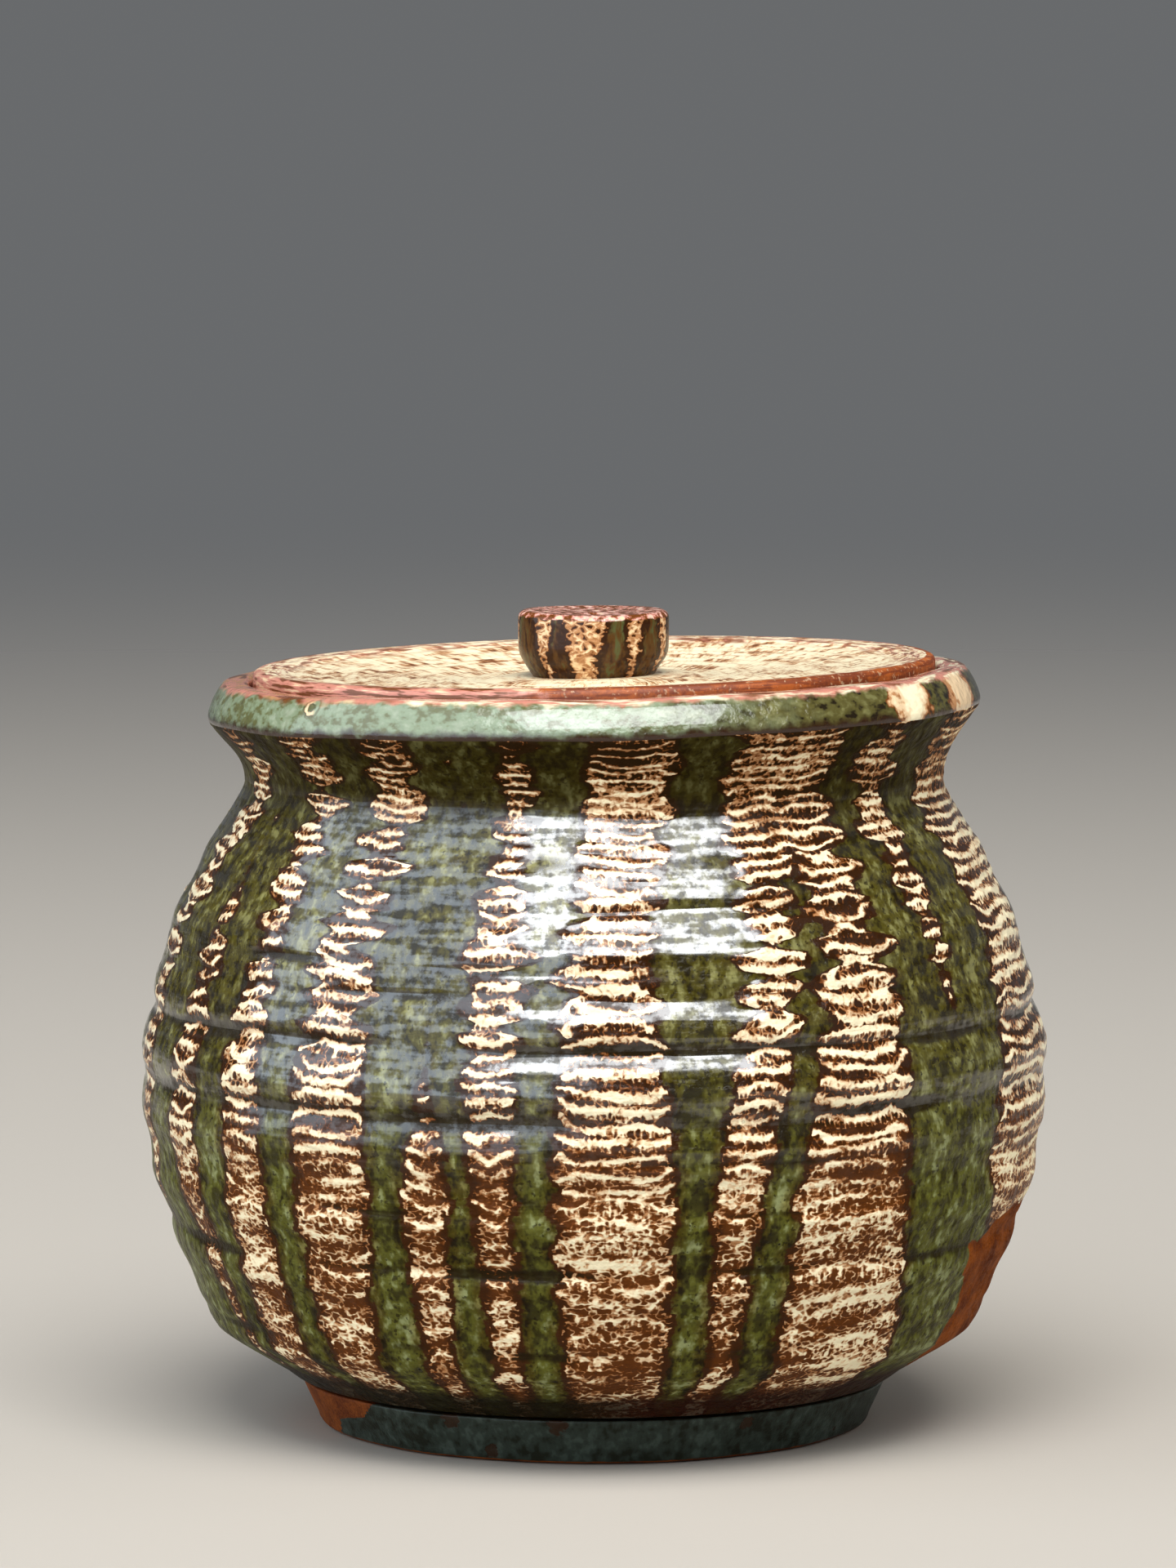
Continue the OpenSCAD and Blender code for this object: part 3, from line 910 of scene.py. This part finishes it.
def lid_side(paint, at, bare):
    """The lid's edge: streaks of cream, pink and rust, or streaked clay where it is bare."""
    streak = paint.noise(paint.stretch(at, (0.12, 0.12, 1.4)), 0.8, 3.0, 0.6)
    glazed = paint.mix(paint.span(streak, 0.34, 0.46), CREAM, PINK)
    glazed = paint.mix(paint.span(streak, 0.50, 0.58), glazed, RUST)
    coarse = paint.stretch(at, (0.6, 0.6, 0.6))
    clay = paint.use(BARE_CLAY, At=coarse, Light=EDGE_CLAY_LIGHT, Dark=EDGE_CLAY_DARK)["Color"]
    clay = paint.mix(paint.span(streak, 0.46, 0.58, 0.0, 0.85), clay, EDGE_CLAY_DARK)
    clay = paint.mix(paint.span(paint.noise(at, 0.8, 2.0), 0.58, 0.68, 0.0, 0.35), clay, CREAM)
    return paint.mix(bare, glazed, clay)


def lid_glaze():
    """The lid: a cream dish with rust flecks, and an edge in pink and rust, bare clay on the right."""
    material, paint, skin, at = new_material("lid_glaze", 0.35, shine=0.3)
    flecks = paint.noise(paint.rays(at), 1.3, 3.0, 0.65)
    broad = paint.noise(at, 7, 2.0)
    ragged = paint.waver(at, 2.5, 0.8, 3.0)
    bare = paint.span(paint.add(paint.attribute("lid_rust"), ragged), 0.40, 0.60)
    edge = paint.span(paint.add(paint.attribute("lid_edge"), ragged), 0.42, 0.58)
    top = lid_top(paint, at, flecks, broad)
    side = lid_side(paint, at, bare)
    paint.feed(skin["Base Color"], paint.mix(edge, top, side))
    bare = paint.times(bare, edge)
    paint.feed(skin["Roughness"], paint.add(0.35, paint.times(bare, 0.25)))
    paint.feed(skin["Coat Weight"], paint.times(paint.flip(bare), 0.15))
    paint.feed(skin["Normal"], paint.bump(paint.add(flecks, broad), 0.10))
    return material


def knob_glaze():
    """The knob: brown and olive glaze with patches of cream slip lace, and a pink and rust crown, its pink
    partly a painted highlight.
    """
    material, paint, skin, at = new_material("knob_glaze", 0.25, coat=0.18, shine=0.1)
    glaze = paint.use(MOTTLED_GLAZE, At=paint.stretch(at, (1.6, 1.6, 0.8)),
                      Deep=DARK_RUST, Body=KNOB_BROWN, Milky=KNOB_OLIVE)
    patch = paint.add(paint.attribute("band"), paint.waver(at, 1.2, 3.0, 3.0))
    lace = paint.times(paint.add(paint.net(paint.stretch(at, (0.8, 0.8, 1.2)), 1.2), -0.6), 0.9)
    speckle = paint.noise(at, 0.6, 3.0, 0.6)
    slip = paint.add(paint.span(patch, -0.4, 0.8, -1.4, 0.12), lace,
                     paint.times(paint.math("SUBTRACT", speckle, 0.5), 0.8), paint.waver(at, 1.4, 1.2, 1.0))
    colour = paint.mix(paint.span(patch, -0.9, -0.2), glaze["Color"], DARK_RUST)
    colour = slip_colour(paint, slip, colour, 2.6)
    # The crown's spotted cream, pale pink, pink and rust: the pinks are partly a painted highlight on the
    # top edge
    spots = paint.noise(at, 1.3, 3.0, 0.6)
    crown = paint.mix(paint.span(spots, 0.30, 0.42), CREAM, PALE_PINK)
    crown = paint.mix(paint.span(spots, 0.38, 0.48), crown, PINK)
    crown = paint.mix(paint.span(spots, 0.45, 0.55), crown, RUST)
    edge = paint.add(paint.attribute("crown"), paint.waver(at, 2.0, 1.0, 3.0))
    paint.feed(skin["Base Color"], paint.mix(paint.span(edge, 0.42, 0.58), colour, crown))
    relief = paint.add(paint.span(slip, 0, 0.3), paint.times(speckle, 0.4))
    paint.feed(skin["Normal"], paint.bump(relief, 0.12))
    return material


def foot_glaze():
    """The foot ring: satin blue-grey glaze, darkened as painted shade, worn through to rust brown clay."""
    material, paint, skin, at = new_material("foot_glaze", 0.42, coat_roughness=0.3, shine=0.1)
    glaze = paint.use(MOTTLED_GLAZE, At=at, Deep=FOOT_DEEP, Body=FOOT_GREY, Milky=FOOT_PALE)
    clay = paint.use(BARE_CLAY, At=at, Light=CLAY_LIGHT, Dark=CLAY_DARK)
    specks = paint.use(SPECKS, At=at, Spacing=5.0, Share=0.35, Reach=0.12)["Mask"]
    chipped = paint.add(paint.attribute("chip"), paint.waver(at, 0.9, 1.2))
    chips = paint.math("MAXIMUM", specks, paint.span(chipped, 0.35, 0.5))
    worn = paint.add(paint.attribute("bare"), paint.waver(at, 2.2, 0.5, 3.0))
    bare = paint.span(worn, 0.45, 0.58)
    colour = paint.mix(paint.times(chips, 0.8), glaze["Color"], DARK_RUST)
    paint.feed(skin["Base Color"], paint.mix(bare, colour, clay["Color"]))
    paint.feed(skin["Roughness"], paint.add(0.42, paint.times(bare, 0.25)))
    paint.feed(skin["Coat Weight"], paint.times(paint.flip(bare), 0.1))
    relief = paint.add(clay["Height"], paint.times(chips, -1.0))
    paint.feed(skin["Normal"], paint.bump(relief, 0.08))
    return material


# Relief of the pieces

def band_distance(angle, height, radius):
    """How far inside a slip band's edge each place lies: below 0 outside every band."""
    best = np.full(len(angle), -99.0)
    knots = KNOT_DEPTH * smooth(height, KNOTS_FROM, KNOTS_FULL)
    for number, stations in enumerate(BANDS):
        middle = np.interp(height, BAND_HEIGHTS, [s[0] for s in stations])
        half = np.interp(height, BAND_HEIGHTS, [s[1] for s in stations])
        narrow = np.clip((WIDE_BAND - half) / NARROWING, NARROW_LEAST, 1)
        waist = 1 - knots * narrow * smooth(wander(height / KNOT_LENGTH, 3 * number), 0.1, 0.9)
        uneven = EDGE_UNEVEN + KNOT_UNEVEN * knots * narrow
        left = half * (waist + uneven * wander(height / KNOT_LENGTH, 3 * number + 1))
        right = half * (waist + uneven * wander(height / KNOT_LENGTH, 3 * number + 2))
        turned = (angle - middle + 180) % 360 - 180
        inside = np.minimum(turned + left, right - turned)
        best = np.maximum(best, np.radians(inside) * radius)
    return best


def groove_depth(angle, height):
    """(depth, mark) of the throwing grooves at each place."""
    depth = np.zeros(len(angle))
    mark = np.zeros(len(angle))
    for number, (middle, deep, half, facing, spread) in enumerate(GROOVES):
        wave = GROOVE_WAVE * wobble(angle, (1, 3, 4, 7), number)
        uneven = GROOVE_SHARE + GROOVE_UNEVEN * wobble(angle, (5, 8, 13), 40 + number)
        fade = np.exp(-(apart(angle, facing) / spread) ** 2)
        fade = fade * np.clip(uneven, GROOVE_LEAST, GROOVE_MOST)
        shape = fade * np.exp(-((height - middle - wave) / half) ** 2)
        depth += deep * shape
        mark = np.maximum(mark, shape * deep / DARK_GROOVE)
    return depth, np.clip(mark, 0, 1)


def strand_course(place, height, band):
    """The count of slip strands from the foot up to each place: its fraction is the place within a strand.

    Strands curl up a little at the edges of their band.
    """
    ladder = np.arange(0, COUNT_TOP, COUNT_STEP)
    pitch = np.interp(ladder, STRAND_HEIGHTS, STRAND_PITCHES)
    count = np.interp(height, ladder, np.cumsum(COUNT_STEP / pitch))
    uneven = CURL_SHARE + CURL_LUMP * lumps(place, CURL_LUMP_SIZE, 1)
    curl = CURL_UP * np.exp(-np.maximum(band, 0) / CURL_REACH) * uneven
    return count - curl / np.interp(height, ladder, pitch) + DRIFT * lumps(place, DRIFT_SIZE, 2)


def bare_wall(clay):
    """Where the glaze leaves the clay bare, low on the right: an uneven patch with round corners."""
    left = BARE_LEFT + BARE_LEAN * (BARE_HIGH - clay.height)
    top = BARE_HIGH + BARE_RISE * (clay.angle - BARE_LEFT)
    inside = np.array([
        np.radians(clay.angle - left) * clay.radius,
        np.radians(BARE_RIGHT - clay.angle) * clay.radius,
        top - clay.height,
        clay.height - BARE_LOW,
    ])
    inside = -BARE_ROUND * np.log(np.sum(np.exp(np.clip(-inside / BARE_ROUND, -40, 40)), 0))
    inside += (BARE_LUMP * lumps(clay.place, BARE_LUMP_SIZE, 7)
               + BARE_FRAY * lumps(clay.place, BARE_FRAY_SIZE, 8))
    return smooth(inside, -BARE_SOFT, BARE_SOFT)


def foot_bare(angle, height):
    """Where the glaze leaves the foot ring bare on the left, above the glaze's edge."""
    line = np.interp(angle, FOOT_LINE_ANGLES, FOOT_LINE_HEIGHTS)
    return smooth(height, line - FOOT_LINE_SOFT, line + FOOT_LINE_SOFT)


def slip_amount(place, height, groove):
    """How much of each strand's height the slip covers."""
    amount = np.interp(height, SLIP_HEIGHTS, SLIP_AMOUNTS)
    return amount + COVER_LUMP * lumps(place, COVER_LUMP_SIZE, 4) - GROOVE_WEAR * groove


def rim_tilt(clay, share):
    """Leans the rim and what lies in it down to the left."""
    clay.raise_by(RIM_TILT * clay.place[:, 0] * share)


def patch_distance(clay, patches, taper=1.0):
    """How far inside a cream patch's edge each place lies: below 0 outside every patch."""
    return np.max([np.radians(half * taper - apart(clay.angle, middle)) * clay.radius
                   for middle, half in patches], 0)


def jar_cuts(corners):
    """Distances along the jar's outline where its base, wall, lip and ledge end."""
    radius, height = corners.T
    along = outline_length(corners)
    top = int(np.argmax(height))
    after_top = np.arange(len(along)) > top
    return (
        along[np.argmax(height > height[0] + BASE_EDGE)],
        along[np.argmax(height > LIP_LOW)],
        along[np.argmax(after_top & (height < height[top] - RIM_ROUND))],
        along[np.argmax(after_top & (radius < LEDGE_INNER))],
    )


def shape_wall(clay, cuts):
    """Gives the wall its slip, grooves and unevenness, and keeps where they lie."""
    wall = (clay.along > cuts[0]) & (clay.along < cuts[1])
    band = band_distance(clay.angle, clay.height, clay.radius)
    depth, groove = groove_depth(clay.angle, clay.height)
    course = strand_course(clay.place, clay.height, band)
    amount = slip_amount(clay.place, clay.height, groove)
    frayed = smooth(band + FRAY * lumps(clay.place, FRAY_SIZE, 5), FRAY_FROM, FRAY_FULL)
    covered = frayed * smooth(amount, COVER_FROM, COVER_FULL)
    ridge = 0.5 - 0.5 * np.cos(math.tau * course)
    relief = covered * (SLIP_THICK + STRAND_HEIGHT * ridge) - depth - SLIP_THICK - STRAND_HEIGHT
    swell = np.interp(clay.height, SWELL_HEIGHTS, SWELLS)
    relief += WALL_LUMP * lumps(clay.place, WALL_LUMP_SIZE, 6) - WALL_INSET + swell
    fade = (smooth(clay.along, cuts[0], cuts[0] + FADE_LOW)
            * smooth(clay.along, cuts[1], cuts[1] - FADE_HIGH))
    clay.swell(np.where(wall, relief * fade, 0))
    clay.note("band", band)
    clay.note("course", course)
    clay.note("groove", groove)
    clay.note("slip_amount", amount)


def shape_lip(clay, cuts):
    """Bulges the lip's face, makes its edge wave a little, and keeps its patches and the way round it."""
    lip = (smooth(clay.along, cuts[1] - FADE_HIGH, cuts[1] + LIP_EASE)
           * smooth(clay.along, cuts[2] + LIP_EASE, cuts[2] - LIP_EASE))
    turn_share = (clay.along - cuts[1]) / (cuts[2] - cuts[1])
    bulge = LIP_BULGE * np.sin(math.pi * np.clip(turn_share / LIP_FACE, 0, 1))
    clay.swell(lip * (bulge + LIP_WAVE * wobble(clay.angle, (2, 3, 5, 9, 17), 70) - LIP_INSET))
    clay.raise_by(lip * LIP_RISE * wobble(clay.angle, (2, 4, 7, 13), 71))
    clay.note("patch", patch_distance(clay, LIP_PATCHES))
    clay.note("rim_turn", turn_share)


def make_jar_body():
    """The thrown body: bare base, glazed wall and lip, bare ledge and lined inside."""
    corners = half_section("jar_body")
    cuts = jar_cuts(corners)
    steps = (HIDDEN_STEP, WALL_STEP, RIM_STEP, RIM_STEP, HIDDEN_STEP)
    clay = Clay(turn("jar_body_glazed", even_outline(corners, cuts, steps), BODY_COLUMNS))
    shape_wall(clay, cuts)
    shape_lip(clay, cuts)
    rim_tilt(clay, smooth(clay.height, TILT_FROM, TILT_FULL))
    clay.note("bare", bare_wall(clay))
    clay.wear(cuts, (CLAY, striped_glaze(), rim_glaze(), CLAY, liner_glaze()))
    clay.finish("jar", "jar_body")


def make_foot_ring():
    """The turned foot ring: glazed outside with chips, bare on its tread, inside and high on the left."""
    corners = half_section("foot_ring")
    clay = Clay(turn("foot_ring_glazed", even_outline(corners, (), (FOOT_STEP,)), BODY_COLUMNS))
    outer = smooth(clay.radius, FOOT_INNER, FOOT_OUTER)
    clay.swell(outer * (FOOT_WAVE * wobble(clay.angle, (3, 5, 8, 13), 80) + FOOT_SWELL))
    tread = smooth(clay.height, TREAD_HIGH, TREAD_LOW)
    inner = smooth(clay.radius, FOOT_INNER, FOOT_BARE_IN)
    clay.note("bare", np.max([foot_bare(clay.angle, clay.height), tread, inner], 0))
    chips = []
    for middle, level, size in FOOT_CHIPS:
        across = np.radians(apart(clay.angle, middle)) * clay.radius
        chips.append(1 - np.hypot(across, clay.height - level) / (2 * size))
    clay.note("chip", np.clip(np.max(chips, 0), 0, 1))
    clay.wear((), (foot_glaze(),))
    clay.finish("jar", "foot_ring")


def make_lid_dish():
    """The lid: a hollow dish with turned lines inside a rolled rim, and a bare underside."""
    corners = half_section("lid_dish")
    along = outline_length(corners)
    widest = int(np.argmax(corners[:, 0]))
    edge_radius = corners[widest, 0]
    cuts = (along[widest] - LID_EDGE_RUN, along[widest] + LID_EDGE_RUN)
    outline = even_outline(corners, cuts, (HIDDEN_STEP, RIM_STEP, LID_STEP))
    clay = Clay(turn("lid_dish_glazed", outline, SMALL_COLUMNS))
    upper = clay.along > along[widest]
    lines = LID_LINE * np.sin(clay.radius * LID_LINE_RATE + wobble(clay.angle, (1, 2), 90))
    dish = (smooth(clay.radius, LID_SEAT_IN, LID_SEAT_OUT)
            * smooth(clay.radius, LID_RIM_IN + LID_RIM_EASE, LID_RIM_IN - LID_RIM_EASE))
    clay.raise_by(np.where(upper, (lines - LID_HOLLOW) * dish, 0))
    waves = smooth(clay.radius, LID_WAVE_FROM, LID_WAVE_FULL) * LID_WAVE * wobble(clay.angle, (2, 5, 7), 91)
    clay.swell(waves - LID_WAVE)
    rim_tilt(clay, 1.0)
    edge = smooth(clay.radius, edge_radius - LID_EDGE_FROM, edge_radius - LID_EDGE_FULL)
    rim = smooth(clay.radius, LID_RIM_IN - LID_RIM_EASE, LID_RIM_IN + LID_RIM_FULL)
    clay.note("lid_edge", np.where(upper, edge, 1.0))
    clay.note("lid_rim", np.where(upper, rim, 0))
    clay.note("lid_rust", smooth(apart(clay.angle, LID_RUST_AT), LID_RUST_END, LID_RUST_FULL))
    clay.wear((cuts[0],), (CLAY, lid_glaze()))
    clay.finish("lid", "lid_dish")


def make_lid_knob():
    """The knob: a flared button with cream patches down its side."""
    corners = half_section("lid_knob")
    clay = Clay(turn("lid_knob_glazed", even_outline(corners, (), (KNOB_STEP,)), SMALL_COLUMNS))
    low, high = clay.height.min(), clay.height.max()
    side = smooth(clay.height, low, low + KNOB_FOOT_RUN)
    clay.swell(side * (KNOB_WAVE * wobble(clay.angle, (2, 3, 5), 95) - KNOB_INSET))
    top = smooth(clay.height, high - KNOB_TOP_FROM, high - KNOB_TOP_FULL)
    clay.raise_by(-KNOB_WAVE + KNOB_WAVE * wobble(clay.angle, (1, 2), 96) * top)
    rim_tilt(clay, smooth(clay.height, KNOB_LEVEL, low))
    taper = KNOB_TAPER + (1 - KNOB_TAPER) * smooth(clay.height, low, high)
    clay.note("band", patch_distance(clay, KNOB_PATCHES, taper))
    clay.note("crown", smooth(clay.height, high - CROWN_FROM, high - CROWN_FULL))
    clay.wear((), (knob_glaze(),))
    clay.finish("lid", "lid_knob")


# Floor, light and camera

def floor_paint():
    """A plain pale floor that fades out far from the jar."""
    material, paint, skin, at = new_material("floor", 0.8)
    skin["Base Color"].default_value = (*FLOOR_COLOUR, 1)
    away = paint.node("ShaderNodeVectorMath", operation="LENGTH")
    paint.feed(away.inputs[0], at)
    fade = paint.node("ShaderNodeMixShader")
    paint.feed(fade.inputs[0], paint.span(away.outputs["Value"], FLOOR_FADE_FROM, FLOOR_FADE_TO))
    nodes = material.node_tree.nodes
    paint.feed(fade.inputs[1], nodes["Principled BSDF"].outputs[0])
    paint.feed(fade.inputs[2], paint.node("ShaderNodeBsdfTransparent").outputs[0])
    paint.feed(nodes["Material Output"].inputs["Surface"], fade.outputs[0])
    return material


def make_floor():
    shape = bmesh.new()
    bmesh.ops.create_grid(shape, x_segments=1, y_segments=1, size=FLOOR_HALF * MM)
    bmesh.ops.translate(shape, verts=shape.verts, vec=(0, 0, -FLOOR_DROP * MM))
    mesh = bpy.data.meshes.new("floor")
    shape.to_mesh(mesh)
    shape.free()
    mesh.materials.append(floor_paint())
    floor = bpy.data.objects.new("floor", mesh)
    bpy.context.scene.collection.objects.link(floor)


def make_softbox(name, azimuth, elevation, distance, width, height, radiance, colour, lights, shows):
    """A rectangular lamp that faces the jar's belly from the given direction."""
    lamp = bpy.data.lights.new(name, "AREA")
    lamp.shape = "RECTANGLE"
    lamp.size = width * MM
    lamp.size_y = height * MM
    lamp.energy = radiance * math.pi * lamp.size * lamp.size_y
    lamp.color = colour
    lamp_object = bpy.data.objects.new(name, lamp)
    side, up = math.radians(azimuth), math.radians(elevation)
    towards = Vector((math.sin(side) * math.cos(up), -math.cos(side) * math.cos(up), math.sin(up)))
    lamp_object.location = towards * distance * MM + Vector((0, 0, (cad_box[0][2] + cad_box[1][2]) / 2))
    lamp_object.rotation_euler = towards.to_track_quat("Z", "Y").to_euler()
    lamp_object.visible_diffuse = lights
    lamp_object.visible_glossy = shows
    bpy.context.scene.collection.objects.link(lamp_object)


def make_world():
    world = bpy.data.worlds.new("studio")
    world.use_nodes = True
    world.node_tree.nodes["Background"].inputs["Color"].default_value = WORLD_LEVEL
    bpy.context.scene.world = world


def make_camera():
    camera = bpy.data.cameras.new("camera")
    camera.sensor_width = SENSOR
    camera.lens = FOCAL_PX / IMAGE_H * SENSOR
    camera_object = bpy.data.objects.new("camera", camera)
    camera_object.location = Vector(CAMERA_AT) * MM
    camera_object.rotation_euler = (math.radians(90 - CAMERA_DOWN), 0, 0)
    bpy.context.scene.collection.objects.link(camera_object)
    bpy.context.scene.camera = camera_object


bpy.context.scene.view_settings.view_transform = "Standard"
make_camera()
CLAY = bare_clay()
make_jar_body()
make_foot_ring()
make_lid_dish()
make_lid_knob()
make_floor()
for box_name, box_values in SOFTBOXES.items():
    make_softbox(box_name, *box_values)
make_world()
